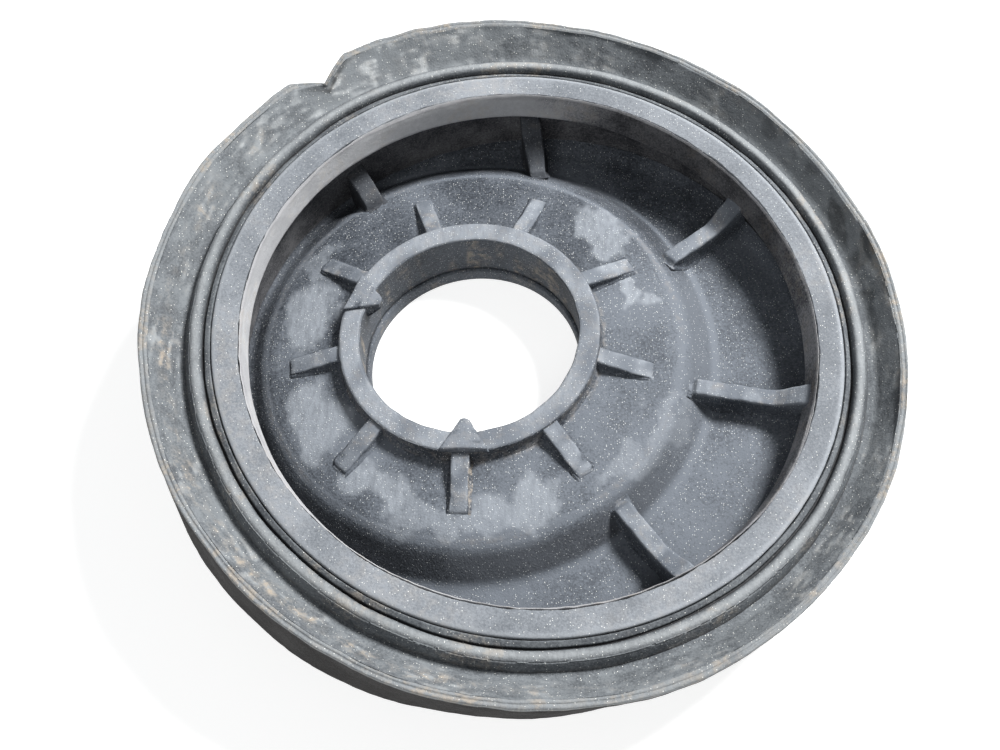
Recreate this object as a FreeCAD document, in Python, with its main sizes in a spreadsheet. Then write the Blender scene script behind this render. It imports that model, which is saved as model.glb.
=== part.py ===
import FreeCAD, Part
import os

import Sketcher

# Row frame: +Z up along the neck's axis, millimetres, origin on that axis in the resting plane.
# The rim leans and stands off centre over the dish, so it has a frame of its own, with its
# origin at the centre of the flat ring's top face. The dish's outlines count from the collar's top.

sizes = {
    # where the rim stands over the dish
    "rim_shift_x": 14.7,
    "rim_shift_y": -3.6,
    "rim_rise": 8.1,
    "rim_tilt": 7.6,
    "rim_heading": 347.0,
    # flat ring and the hoop under it
    "ring_bore": 63.5,
    "ring_width": 5.7,
    "ring_depth": 4.0,
    "ring_round": 0.8,
    "hoop_inset": 1.3,
    "hoop_width": 2.4,
    "hoop_depth": 1.4,
    # bead ring
    "deck_depth": 10.0,
    "step_width": 1.4,
    "step_drop": 0.4,
    "groove_width": 0.6,
    "groove_drop": 1.4,
    "bead_width": 2.2,
    "bead_rise": 0.3,
    "bead_round": 0.9,
    "bead_slope": 1.2,
    # channel, lip and skirt
    "channel_width": 1.6,
    "channel_drop": 3.2,
    "channel_round": 1.2,
    "lip_width": 7.8,
    "lip_rise": 3.4,
    "lip_edge": 1.9,
    "lip_round": 0.7,
    "lip_depth": 3.0,
    "skirt_wall": 2.6,
    "skirt_inset": 1.1,
    "skirt_shift_x": -1.8,
    "skirt_shift_y": -0.2,
    "skirt_drop": 1.6,
    "skirt_level": 12.5,
    # bowl
    "mouth_step": 1.2,
    "mouth_band": 7.5,
    "cavity_step": 2.0,
    "bowl_wall": 2.8,
    # floor and dome
    "floor_drop": 13.2,
    "floor_wall": 2.8,
    "dome_width": 18.0,
    "dome_fall": 1.6,
    "flank_run": 8.5,
    "crest_round": 6.0,
    "foot_round": 2.0,
    # neck
    "neck_bore": 24.9,
    "neck_wall": 5.1,
    "neck_relief": 0.7,
    "neck_sleeve": 3.3,
    "neck_below": 1.5,
    "collar_rise": 4.0,
    "collar_round": 0.6,
    "lip_height": 4.2,
    # ribs
    "rib_width": 4.4,
    "rib_count": 9,
    "rib_phase": -53.0,
    "short_rib_length": 11.5,
    "short_rib_drop": 0.8,
    "short_rib_lift": 1.3,
    "short_rib_slant": 0.8,
    "long_rib_root": 3.0,
    "long_rib_drop": 6.6,
    "long_a_turn": -50.5,
    "long_a_heading": -54.0,
    "long_b_turn": -14.0,
    "long_b_heading": -11.5,
    "long_c_turn": 23.5,
    "long_c_heading": 36.5,
    "long_d_turn": 67.8,
    "long_d_heading": 97.0,
    "long_e_turn": 121.0,
    "long_e_heading": 124.0,
    "ramp_run": 8.5,
    "ramp_rise": 9.0,
    # pips
    "pip_count": 2,
    "pip_phase": 157.0,
    "pip_step": 111.5,
    "pip_base": 10.4,
    "pip_reach": 2.8,
    "pip_tip": 2.0,
    "pip_rise": 0.9,
    "pip_depth": 3.4,
    # longer than any of the part, for the shapes that cut and limit others
    "reach": 110.0,
}

# Places that follow from the sizes, each a sum of sizes or of places above it.
places = {
    "neck_radius": "neck_bore + neck_wall",
    "neck_outer": "neck_bore + neck_sleeve",
    "neck_length": "floor_drop + floor_wall + neck_below",
    "rim_height": "neck_length + rim_rise",
    "dome_crest": "neck_radius + dome_width",
    "dome_foot": "dome_crest + flank_run",
    "crest_drop": "collar_rise + dome_fall",
    "short_rib_end": "neck_radius + short_rib_length",
    "long_rib_start": "dome_crest - long_rib_root",
    "ring_radius": "ring_bore + ring_width",
    "step_radius": "ring_radius + step_width",
    "bead_edge": "step_radius + groove_width",
    "bead_radius": "bead_edge + bead_width",
    "bead_foot": "bead_radius + bead_slope",
    "channel_radius": "bead_foot + channel_width",
    "lip_radius": "channel_radius + lip_width",
    "skirt_radius": "lip_radius - skirt_inset",
    "mouth_radius": "ring_bore - mouth_step",
    "cavity_radius": "ring_bore + cavity_step",
    "wall_radius": "cavity_radius + bowl_wall",
    "hoop_bore": "ring_bore + hoop_inset",
    "hoop_radius": "hoop_bore + hoop_width",
    "ramp_radius": "ring_bore - ramp_run",
}


def terms(expression):
    # Splits a sum such as "-ring_depth - rib_width/2" into (sign, size or number, divisor).
    sign = 1
    for word in expression.split():
        if word in "+-":
            sign = 1 if word == "+" else -1
            continue
        if word.startswith("-"):
            sign = -1
        name, slash, divisor = word.lstrip("-").partition("/")
        divisor = float(divisor or 1)
        if name in places:
            for innerSign, innerName, innerDivisor in terms(places[name]):
                yield sign * innerSign, innerName, divisor * innerDivisor
        else:
            yield sign, name, divisor
        sign = 1


def amount(expression):
    # The present value of such a sum.
    return sum(sign * float(sizes.get(name, name)) / divisor for sign, name, divisor in terms(expression))


def bound(expression):
    # The same sum, written so that it follows the sheet.
    parts = [f"{sign} * {'Sizes.' + name if name in sizes else name} / {divisor:g}"
             for sign, name, divisor in terms(expression)]
    return " + ".join(parts)


def shifted(x, y, z):
    # A placement moved by three sums.
    return f"placement(vector({bound(x)}; {bound(y)}; {bound(z)}); rotation(0; 0; 0))"


def turned(angle):
    # A placement turned about Z.
    return f"placement(vector(0; 0; 0); rotation({bound(angle)}; 0; 0))"


leaning = (
    "placement(vector(0; 0; 0); "
    "rotation(vector(-sin(Sizes.rim_heading); cos(Sizes.rim_heading); 0); Sizes.rim_tilt))"
)
dishFrame = shifted("0", "0", "neck_length")
rimFrame = shifted("rim_shift_x", "rim_shift_y", "rim_height") + " * " + leaning
skirtFrame = rimFrame + " * " + shifted("skirt_shift_x", "skirt_shift_y", "0")
rampFrame = shifted("rim_shift_x", "rim_shift_y", "neck_length")
ribFrame = dishFrame + " * " + turned("rib_phase")
pipFrame = shifted("0", "0", "neck_length - pip_depth") + " * " + turned("pip_phase")

document = FreeCAD.newDocument("OffsetCollarBoot")
sheet = document.addObject("Spreadsheet::Sheet", "Sizes")
for row, (name, number) in enumerate(sizes.items(), start=1):
    sheet.set(f"A{row}", name)
    sheet.set(f"B{row}", str(number))
    sheet.setAlias(f"B{row}", name)
document.recompute()


def originItem(body, role):
    # A body's own origin plane or axis.
    return next(item for item in body.Origin.OriginFeatures if item.Role == role)


def bindSize(sketch, constraint, expression):
    number = sketch.addConstraint(constraint)
    sketch.setExpression(f"Constraints[{number}]", bound(expression))


def outline(body, name, plane, corners):
    # A closed outline. Each corner is (across, up) or (across, up, rounding radius), all bound to the sheet.
    sketch = body.newObject("Sketcher::SketchObject", name)
    sketch.AttachmentSupport = (originItem(body, plane), [""])
    sketch.MapMode = "FlatFace"
    points = [FreeCAD.Vector(amount(corner[0]), amount(corner[1]), 0) for corner in corners]
    count = len(points)
    for index in range(count):
        sketch.addGeometry(Part.LineSegment(points[index], points[(index + 1) % count]), False)
    for index in range(count):
        sketch.addConstraint(Sketcher.Constraint("Coincident", index, 2, (index + 1) % count, 1))
    for index, corner in enumerate(corners):
        bindSize(sketch, Sketcher.Constraint("DistanceX", index, 1, points[index].x), corner[0])
        bindSize(sketch, Sketcher.Constraint("DistanceY", index, 1, points[index].y), corner[1])
    for index, corner in enumerate(corners):
        if len(corner) == 3:
            sketch.fillet((index - 1) % count, 2, amount(corner[2]), True, True)
            edges = enumerate(sketch.Geometry)
            arc = max(number for number, edge in edges if isinstance(edge, Part.ArcOfCircle))
            bindSize(sketch, Sketcher.Constraint("Radius", arc, amount(corner[2])), corner[2])
    return sketch


def newBody(label, frame):
    body = document.addObject("PartDesign::Body", label)
    body.Label = label
    body.setExpression("Placement", frame)
    return body


def turnedBody(label, frame, corners):
    # A body turned about its own Z axis from one outline in its XZ plane.
    body = newBody(label, frame)
    turn = body.newObject("PartDesign::Revolution", label + "_turn")
    turn.Profile = outline(body, label + "_profile", "XZ_Plane", corners)
    turn.ReferenceAxis = (originItem(body, "Z_Axis"), [""])
    turn.Angle = 360
    return body


def patternBody(label, frame, plane, corners, length, midplane, count, step):
    # A body padded from one outline and repeated about its own Z axis.
    body = newBody(label, frame)
    pad = body.newObject("PartDesign::Pad", label + "_pad")
    pad.Profile = outline(body, label + "_profile", plane, corners)
    pad.setExpression("Length", bound(length))
    pad.Midplane = midplane
    pattern = body.newObject("PartDesign::PolarPattern", label + "_pattern")
    pattern.Originals = [pad]
    pattern.Axis = (originItem(body, "Z_Axis"), [""])
    pattern.Mode = "Spacing"
    pattern.setExpression("Occurrences", count)
    pattern.setExpression("Offset", step)
    body.Tip = pattern
    return body


def drum(label, frame, radius, low, height):
    # A plain cylinder that cuts or limits other shapes.
    tool = document.addObject("Part::Cylinder", label)
    tool.setExpression("Radius", bound(radius))
    tool.setExpression("Height", bound(height))
    tool.setExpression("Placement", frame + " * " + shifted("0", "0", low))
    return tool


def longPlate(letter):
    # An upright plate along one long rib. It starts inside the dome and has a heading of its own.
    plate = document.addObject("Part::Box", f"long_plate_{letter}")
    plate.setExpression("Length", bound("reach"))
    plate.setExpression("Width", bound("rib_width"))
    plate.setExpression("Height", bound("reach"))
    plate.setExpression("Placement", " * ".join([
        turned(f"long_{letter}_turn"),
        shifted("long_rib_start", "0", "0"),
        turned(f"long_{letter}_heading - long_{letter}_turn"),
        shifted("0", "-rib_width/2", "0"),
    ]))
    return plate


def combine(kind, label, base, tool):
    # A Part::Cut, Part::Common or Part::Fuse of two objects.
    result = document.addObject("Part::" + kind, label)
    result.Label = label
    result.Base = base
    result.Tool = tool
    return result


# Rim: the outer lip, the skirt off centre under it, which ends level, and the rings inside it.

lipBlank = turnedBody("lip_blank", rimFrame, [
    ("channel_radius", "-deck_depth"),
    ("channel_radius", "-channel_drop"),
    ("lip_radius - lip_edge", "lip_rise", "lip_round"),
    ("lip_radius", "lip_rise", "lip_round"),
    ("lip_radius", "-lip_depth"),
    ("channel_radius + skirt_wall", "-deck_depth"),
])
skirtTube = turnedBody("skirt_tube", skirtFrame, [
    ("skirt_radius - skirt_wall", "-reach"),
    ("skirt_radius", "-reach"),
    ("skirt_radius", "-skirt_drop"),
    ("skirt_radius - skirt_wall", "-skirt_drop"),
])
belowSkirt = drum("below_skirt", shifted("0", "0", "skirt_level"), "reach + reach", "-reach", "reach")
skirt = combine("Cut", "skirt", skirtTube, belowSkirt)
lipSkirt = combine("Fuse", "lip_skirt", lipBlank, skirt)

beadRing = turnedBody("bead_ring", rimFrame, [
    ("wall_radius", "-deck_depth"),
    ("channel_radius", "-deck_depth"),
    ("channel_radius", "-channel_drop"),
    ("bead_foot", "-channel_drop", "channel_round"),
    ("bead_radius", "bead_rise", "bead_round"),
    ("bead_edge", "bead_rise", "bead_round"),
    ("bead_edge", "-groove_drop"),
    ("step_radius", "-groove_drop"),
    ("step_radius", "-step_drop"),
    ("ring_radius", "-step_drop"),
    ("ring_radius", "-ring_depth"),
    ("wall_radius", "-ring_depth"),
])

flatRing = turnedBody("flat_ring", rimFrame, [
    ("ring_bore", "-ring_depth"),
    ("ring_radius", "-ring_depth"),
    ("ring_radius", "0", "ring_round"),
    ("ring_bore", "0"),
])

hoopInsert = turnedBody("hoop_insert", rimFrame, [
    ("hoop_bore", "-ring_depth - hoop_depth"),
    ("hoop_radius", "-ring_depth - hoop_depth"),
    ("hoop_radius", "-ring_depth"),
    ("hoop_bore", "-ring_depth"),
])

# Dish: the bowl's wall, cut off at the resting plane, and the floor that rises into the dome inside it.

wallBlank = turnedBody("wall_blank", rimFrame, [
    ("cavity_radius", "-reach"),
    ("wall_radius", "-reach"),
    ("wall_radius", "-ring_depth"),
    ("hoop_radius", "-ring_depth"),
    ("hoop_radius", "-ring_depth - hoop_depth"),
    ("hoop_bore", "-ring_depth - hoop_depth"),
    ("hoop_bore", "-ring_depth"),
    ("ring_bore", "-ring_depth"),
    ("ring_bore", "0"),
    ("mouth_radius", "0"),
    ("mouth_radius", "-mouth_band"),
    ("cavity_radius", "-mouth_band"),
])
belowRest = drum("below_rest", shifted("0", "0", "0"), "reach + reach", "-reach", "reach")
bowlWall = combine("Cut", "bowl_wall", wallBlank, belowRest)

floorBlank = turnedBody("floor_blank", dishFrame, [
    ("neck_radius", "-collar_rise - floor_wall"),
    ("neck_radius", "-collar_rise"),
    ("dome_crest", "-crest_drop", "crest_round"),
    ("dome_foot", "-floor_drop", "foot_round"),
    ("reach", "-floor_drop"),
    ("reach", "-floor_drop - floor_wall"),
    ("dome_foot - floor_wall", "-floor_drop - floor_wall", "foot_round"),
    ("dome_crest - floor_wall", "-crest_drop - floor_wall", "foot_round"),
])
insideBowl = drum("inside_bowl", rimFrame, "cavity_radius", "-reach", "reach")
domeFloor = combine("Common", "dome_floor", floorBlank, insideBowl)

# Neck: the collar with its bore, and the thin lip below it.

neckCollar = turnedBody("neck_collar", dishFrame, [
    ("neck_bore", "0"),
    ("neck_radius", "0", "collar_round"),
    ("neck_radius", "-collar_rise - floor_wall"),
    ("neck_outer", "-collar_rise - floor_wall"),
    ("neck_outer", "lip_height - neck_length"),
    ("neck_bore + neck_relief", "lip_height - neck_length"),
])

neckLip = turnedBody("neck_lip", dishFrame, [
    ("neck_bore", "-neck_length"),
    ("neck_outer", "-neck_length"),
    ("neck_outer", "lip_height - neck_length"),
    ("neck_bore", "lip_height - neck_length"),
])

# Ribs: short ones all round the collar, and long ones where the floor is wide, which climb the bowl's wall.

neckPlug = drum("neck_plug", dishFrame, "neck_radius", "-reach", "reach")
domePlug = turnedBody("dome_plug", dishFrame, [
    ("0", "-collar_rise"),
    ("neck_radius", "-collar_rise"),
    ("dome_crest", "-crest_drop", "crest_round"),
    ("dome_foot", "-floor_drop", "foot_round"),
    ("reach", "-floor_drop"),
    ("reach", "-reach"),
    ("0", "-reach"),
])

shortBlank = patternBody("short_rib_blank", ribFrame, "XZ_Plane", [
    ("neck_bore", "-floor_drop"),
    ("short_rib_end + short_rib_slant", "-floor_drop"),
    ("short_rib_end + short_rib_slant", "-crest_drop"),
    ("short_rib_end", "short_rib_lift - crest_drop"),
    ("neck_radius", "-short_rib_drop"),
    ("neck_bore", "-short_rib_drop"),
], "rib_width", True, "Sizes.rib_count", "360 deg / Sizes.rib_count")
shortOutside = combine("Cut", "short_outside", shortBlank, neckPlug)
shortRibs = combine("Cut", "short_ribs", shortOutside, domePlug)

longPlates = [longPlate(letter) for letter in "abcde"]
longBlank = document.addObject("Part::MultiFuse", "long_rib_blank")
longBlank.Shapes = longPlates
ribLevel = drum("rib_level", dishFrame, "reach", "-floor_drop", "floor_drop - long_rib_drop")
ribRamp = turnedBody("rib_ramp", rampFrame, [
    ("ramp_radius", "-floor_drop"),
    ("wall_radius", "-floor_drop"),
    ("wall_radius", "ramp_rise - long_rib_drop"),
    ("ramp_radius", "-long_rib_drop"),
])
ribSpace = turnedBody("rib_space", rimFrame, [
    ("0", "-reach"),
    ("cavity_radius", "-reach"),
    ("cavity_radius", "-mouth_band"),
    ("mouth_radius", "-mouth_band"),
    ("mouth_radius", "0"),
    ("0", "0"),
])
ribHeight = combine("Fuse", "rib_height", ribLevel, ribRamp)
ribPlates = combine("Common", "rib_plates", longBlank, ribHeight)
ribsInBowl = combine("Common", "ribs_in_bowl", ribPlates, ribSpace)
longRibs = combine("Cut", "long_ribs", ribsInBowl, domePlug)

# Pips: the pointed tabs on the collar's top, which reach into the bore.

pipBlank = patternBody("pip_blank", pipFrame, "XY_Plane", [
    ("neck_bore - pip_reach", "-pip_tip/2"),
    ("neck_radius - collar_round", "-pip_base/2"),
    ("neck_radius - collar_round", "pip_base/2"),
    ("neck_bore - pip_reach", "pip_tip/2"),
], "pip_rise + pip_depth", False, "Sizes.pip_count", "Sizes.pip_step * 1 deg")
pointerPips = combine("Cut", "pointer_pips", pipBlank, neckCollar)

subParts = [
    lipSkirt, beadRing, flatRing, hoopInsert, bowlWall, domeFloor,
    neckCollar, neckLip, shortRibs, longRibs, pointerPips,
]

document.recompute()
for item in document.Objects:
    if "Invalid" in item.State or "Error" in item.State:
        raise RuntimeError(f"{item.Label} did not build: {item.State}")

os.makedirs("parts", exist_ok=True)
for item in subParts:
    if item.Shape.isNull() or not item.Shape.isValid():
        raise RuntimeError(f"{item.Label} has no valid shape")
    item.Shape.exportStep(f"parts/{item.Label}.step")
    print(item.Label, len(item.Shape.Solids), "solids", round(item.Shape.Volume), "mm3")
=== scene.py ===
import bpy
import math
import numpy as np
from mathutils import Matrix, Vector


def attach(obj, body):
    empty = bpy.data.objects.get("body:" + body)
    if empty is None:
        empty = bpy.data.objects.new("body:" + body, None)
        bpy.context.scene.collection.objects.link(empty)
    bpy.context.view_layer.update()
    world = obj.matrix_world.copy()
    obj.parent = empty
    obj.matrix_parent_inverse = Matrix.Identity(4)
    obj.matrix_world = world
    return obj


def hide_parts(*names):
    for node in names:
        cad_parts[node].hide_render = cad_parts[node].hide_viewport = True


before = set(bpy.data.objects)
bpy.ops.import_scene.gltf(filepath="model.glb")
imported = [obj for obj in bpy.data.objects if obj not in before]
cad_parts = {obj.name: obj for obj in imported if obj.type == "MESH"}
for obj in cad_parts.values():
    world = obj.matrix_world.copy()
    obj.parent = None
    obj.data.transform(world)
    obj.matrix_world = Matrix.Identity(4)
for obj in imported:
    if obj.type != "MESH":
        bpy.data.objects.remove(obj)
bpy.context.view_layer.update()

mm = 0.001

# The rim leans over the dish: centre of the flat ring's top in mm, and which way it leans.
rim = {"centre": (14.7, -3.6, 25.6), "heading": 347.0, "lean": 7.6}
# The round wall of the bowl, in mm.
dish = {"wallCentre": (11.9, -3.0), "wallRadius": 65.5}


def leanMatrix(heading, lean):
    heading = math.radians(heading)
    axis = Vector((-math.sin(heading), math.cos(heading), 0.0))
    return np.array(Matrix.Rotation(math.radians(lean), 3, axis))


rimTurn = leanMatrix(rim["heading"], rim["lean"])
rimCentre = np.array(rim["centre"])


def rimPlace(radius, angle, height):
    # From the rim's own radius, angle and height to the row frame, all in mm.
    local = np.stack([radius * np.cos(angle), radius * np.sin(angle), height + 0 * radius], axis=-1)
    return local @ rimTurn.T + rimCentre


def rimRead(points):
    # The other way round: radius, angle and height about the rim's axis.
    local = (points - rimCentre) @ rimTurn
    return np.hypot(local[..., 0], local[..., 1]), np.arctan2(local[..., 1], local[..., 0]), local[..., 2]


def waves(points, size, seed, count=14):
    # Soft noise of a given size in mm, summed from plane waves in seeded directions.
    dice = np.random.default_rng(seed)
    directions = dice.normal(size=(count, 3))
    directions /= np.linalg.norm(directions, axis=1)[:, None]
    pitches = size * dice.uniform(0.6, 1.6, count)
    phases = dice.uniform(0, 2 * math.pi, count)
    total = np.zeros(points.shape[:-1])
    for direction, pitch, phase in zip(directions, pitches, phases):
        total += np.sin(points @ direction * (2 * math.pi / pitch) + phase)
    return total / math.sqrt(count / 2)


def streaks(radius, angle, across, turns, seed, count=16):
    # Fine lines that run round an axis: across in mm, turns is the most waves in one round.
    dice = np.random.default_rng(seed)
    total = 0
    for pitch, turn, phase in zip(across * dice.uniform(0.5, 1.6, count), dice.integers(-turns, turns, count),
                                  dice.uniform(0, 2 * math.pi, count)):
        total = total + np.sin(2 * math.pi * radius / pitch + turn * angle + phase)
    return total / math.sqrt(count / 2)


def ramp(value, low, high):
    # Smooth step from 0 at low to 1 at high.
    part = np.clip((value - low) / (high - low), 0, 1)
    return part * part * (3 - 2 * part)


def shifted(spots, directions, distance):
    # Points moved by a distance in mm along directions of any length.
    length = np.linalg.norm(directions, axis=-1, keepdims=True)
    return spots + directions * (distance / np.maximum(length, 1e-6))


def roundedLoop(corners, angles, closed=True):
    # Corners are (radius, height, rounding, splits): radius and height are numbers or one value per angle.
    # Returns radius and height grids with one row per angle, and which corner each column follows.
    size = len(angles)
    spots = [np.stack([np.full(size, 1.0) * c[0], np.full(size, 1.0) * c[1]], axis=-1) for c in corners]
    rows, stages = [], []
    count = len(corners)
    for index, corner in enumerate(corners):
        here = spots[index]
        before = spots[index - 1] - here
        after = spots[(index + 1) % count] - here
        rounding = corner[2]
        atEnd = not closed and index in (0, count - 1)
        if rounding > 0 and not atEnd:
            start = shifted(here, before, rounding)
            stop = shifted(here, after, rounding)
            for step in np.linspace(0, 1, 5):
                rows.append((1 - step) ** 2 * start + 2 * step * (1 - step) * here + step ** 2 * stop)
        else:
            rows.append(here)
        if closed or index < count - 1:
            last = rows[-1]
            following = corners[(index + 1) % count]
            target = spots[(index + 1) % count]
            if following[2] > 0 and (closed or index + 1 < count - 1):
                target = shifted(target, here - target, following[2])
            for step in range(1, corner[3] + 1):
                rows.append(last + (target - last) * step / (corner[3] + 1))
        stages += [index] * (len(rows) - len(stages))
    grid = np.stack(rows, axis=1)
    return grid[..., 0], grid[..., 1], np.array(stages)


def gridNormals(points):
    # Unit normals of a grid whose rows go all the way round.
    around = np.roll(points, -1, axis=0) - np.roll(points, 1, axis=0)
    normal = np.cross(around, np.gradient(points, axis=1))
    return normal / np.maximum(np.linalg.norm(normal, axis=-1, keepdims=True), 1e-9)


# What each point of a piece carries for its material, from 0 to 1; the pale masks also carry painted light
# and the dark mask also carries painted shade.
maskNames = ("dust", "scuff", "bloom", "dark")


def meshPiece(name, grids, material, replaced):
    # grids: list of (points in mm, closed round, closed profile, masks). One object holds them all.
    vertices, faces, masks = [], [], {}
    start = 0
    for points, closedRound, closedProfile, values in grids:
        rows, columns = points.shape[:2]
        index = np.arange(rows * columns).reshape(rows, columns) + start
        nextRow = np.roll(index, -1, axis=0) if closedRound else index[1:]
        thisRow = index if closedRound else index[:-1]
        if closedProfile:
            quads = [thisRow, nextRow, np.roll(nextRow, -1, axis=1), np.roll(thisRow, -1, axis=1)]
        else:
            quads = [thisRow[:, :-1], nextRow[:, :-1], nextRow[:, 1:], thisRow[:, 1:]]
        faces.append(np.stack([q.ravel() for q in quads], axis=-1))
        vertices.append(points.reshape(-1, 3) * mm)
        for key in maskNames:
            masks.setdefault(key, []).append(np.broadcast_to(values.get(key, 0.0), (rows, columns)).ravel())
        start += rows * columns
    mesh = bpy.data.meshes.new(name)
    mesh.from_pydata(np.concatenate(vertices).tolist(), [], np.concatenate(faces).tolist())
    for key, parts in masks.items():
        layer = mesh.attributes.new(key, "FLOAT", "POINT")
        layer.data.foreach_set("value", np.concatenate(parts).astype(np.float32))
    mesh.shade_smooth()
    mesh.materials.append(material)
    mesh.validate()
    piece = bpy.data.objects.new(name, mesh)
    bpy.context.scene.collection.objects.link(piece)
    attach(piece, "root")
    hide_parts(*replaced)
    print("made", name, len(mesh.polygons), "faces")


# Materials

def linear(hexColour):
    # sRGB hex to linear RGBA.
    parts = [int(hexColour[i:i + 2], 16) / 255 for i in (1, 3, 5)]
    return tuple(p / 12.92 if p <= 0.04045 else ((p + 0.055) / 1.055) ** 2.4 for p in parts) + (1.0,)


def addNode(tree, kind, settings=None, links=None):
    # settings: the node's own properties. links: input name or number to a value or (node, output).
    node = tree.nodes.new(kind)
    for key, value in (settings or {}).items():
        setattr(node, key, value)
    for key, value in (links or {}).items():
        if isinstance(value, tuple) and len(value) == 2 and isinstance(value[0], bpy.types.Node):
            tree.links.new(value[0].outputs[value[1]], node.inputs[key])
        else:
            node.inputs[key].default_value = value
    return node


# Sizes in mm of the patterns that all the rubber shares.
rubberSizes = {"fineMottle": 0.5, "stroke": 1.1, "skin": 0.45, "pits": 2.4, "relief": 0.25}


def mouldedRubber(name, look, sizes):
    # Black moulded rubber left outdoors: a grey bloom, sand grit caught in it, tan dust and dry pale scuffs;
    # the bloom and scuff masks also lay on painted light.
    # To the eye it is matt and slaty, darker where it is unweathered and where shade is painted in, with
    # bright grains all over.
    material = bpy.data.materials.new(name)
    material.use_nodes = True
    tree = material.node_tree
    tree.nodes.clear()
    space = (addNode(tree, "ShaderNodeTexCoord"), "Object")
    marks = {key: (addNode(tree, "ShaderNodeAttribute", {"attribute_name": key}), "Fac") for key in maskNames}
    smooth = {"interpolation_type": "SMOOTHSTEP"}
    product = {"operation": "MULTIPLY", "use_clamp": True}
    total = {"operation": "ADD", "use_clamp": True}
    remainder = {"operation": "SUBTRACT", "use_clamp": True}
    weighted = {"operation": "MULTIPLY_ADD"}
    blend = {"data_type": "RGBA"}

    # bloom and painted light: cloudy patches with fine mottling, paler still where the mask paints light
    cloud = addNode(tree, "ShaderNodeTexNoise", {}, {
        "Vector": space, "Scale": 1 / (look["mottle"] * mm), "Detail": 5, "Roughness": 0.62})
    fine = addNode(tree, "ShaderNodeTexNoise", {}, {
        "Vector": space, "Scale": 1 / (sizes["fineMottle"] * mm), "Detail": 5, "Roughness": 0.75})
    both = addNode(tree, "ShaderNodeMath", weighted, {0: (fine, "Fac"), 1: 1.3, 2: (cloud, "Fac")})
    bloomAndLightShare = addNode(tree, "ShaderNodeMapRange", smooth, {
        "Value": (both, 0), "From Min": 0.86, "From Max": 1.48})
    bloomAndLightShare = addNode(tree, "ShaderNodeMath", product, {0: (bloomAndLightShare, 0), 1: look["cloudiness"]})
    bloomAndLightShare = addNode(tree, "ShaderNodeMath", total, {0: (bloomAndLightShare, 0), 1: marks["bloom"]})
    colour = addNode(tree, "ShaderNodeMix", blend, {
        0: (bloomAndLightShare, 0), 6: linear(look["base"]), 7: linear(look["bloom"])})

    # scuffs and painted light: dry rubbed rubber in short strokes, also laid where the mask paints light
    slanted = addNode(tree, "ShaderNodeMapping", {}, {
        "Vector": space, "Rotation": (0, 0, math.radians(look["strokeTurn"])), "Scale": (1.0, 0.3, 1.0)})
    strokes = addNode(tree, "ShaderNodeTexNoise", {}, {
        "Vector": (slanted, 0), "Scale": 1 / (sizes["stroke"] * mm), "Detail": 5, "Roughness": 0.75})
    strokes = addNode(tree, "ShaderNodeMapRange", smooth, {
        "Value": (strokes, "Fac"), "From Min": 0.3, "From Max": 0.66, "To Min": 0.5})
    scuffAndLightShare = addNode(tree, "ShaderNodeMath", product, {0: (strokes, 0), 1: marks["scuff"]})
    colour = addNode(tree, "ShaderNodeMix", blend, {
        0: (scuffAndLightShare, 0), 6: (colour, 2), 7: linear(look["scuff"])})

    # dust: tan soil in clots and films
    clots = addNode(tree, "ShaderNodeTexNoise", {}, {
        "Vector": space, "Scale": 1 / (look["clot"] * mm), "Detail": 6, "Roughness": 0.7})
    clots = addNode(tree, "ShaderNodeMapRange", smooth, {
        "Value": (clots, "Fac"), "From Min": 0.42, "From Max": 0.66})
    settled = addNode(tree, "ShaderNodeMath", product, {0: (clots, 0), 1: marks["dust"]})
    colour = addNode(tree, "ShaderNodeMix", blend, {0: (settled, 0), 6: (colour, 2), 7: linear(look["dust"])})

    # unweathered black on the outer wall, and painted shade in deep corners, undercuts and on sides turned
    # from the light
    colour = addNode(tree, "ShaderNodeMix", blend, {
        0: marks["dark"], 6: (colour, 2), 7: linear(look["deep"])})

    # sand grains up to about a quarter of a millimetre across, only where the rubber is in the open
    cells = addNode(tree, "ShaderNodeTexVoronoi", {}, {
        "Vector": space, "Scale": 1 / (look["grainStep"] * mm)})
    spots = addNode(tree, "ShaderNodeMapRange", smooth, {
        "Value": (cells, "Distance"), "From Min": 0.10, "From Max": 0.24, "To Min": 1.0, "To Max": 0.0})
    pick = addNode(tree, "ShaderNodeSeparateColor", {}, {0: (cells, "Color")})
    chosen = addNode(tree, "ShaderNodeMapRange", smooth, {
        "Value": (pick, 0), "From Min": 1 - look["grainShare"], "From Max": 1 - look["grainShare"] * 0.6})
    grain = addNode(tree, "ShaderNodeMath", product, {0: (spots, 0), 1: (chosen, 0)})
    bare = addNode(tree, "ShaderNodeMath", remainder, {0: 1.0, 1: marks["dark"]})
    grain = addNode(tree, "ShaderNodeMath", product, {0: (grain, 0), 1: (bare, 0)})
    colour = addNode(tree, "ShaderNodeMix", blend, {0: (grain, 0), 6: (colour, 2), 7: linear(look["grain"])})

    # relief: moulded grain, pits and the sand standing on it
    skin = addNode(tree, "ShaderNodeTexNoise", {}, {
        "Vector": space, "Scale": 1 / (sizes["skin"] * mm), "Detail": 3, "Roughness": 0.6})
    pits = addNode(tree, "ShaderNodeTexNoise", {}, {
        "Vector": space, "Scale": 1 / (sizes["pits"] * mm), "Detail": 4, "Roughness": 0.6})
    height = addNode(tree, "ShaderNodeMath", weighted, {0: (pits, "Fac"), 1: 0.7, 2: (skin, "Fac")})
    height = addNode(tree, "ShaderNodeMath", weighted, {0: (grain, 0), 1: 0.8, 2: (height, 0)})
    height = addNode(tree, "ShaderNodeMath", weighted, {0: (settled, 0), 1: 0.9, 2: (height, 0)})
    bump = addNode(tree, "ShaderNodeBump", {}, {
        "Strength": look["relief"], "Distance": sizes["relief"] * mm, "Height": (height, 0)})

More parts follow.
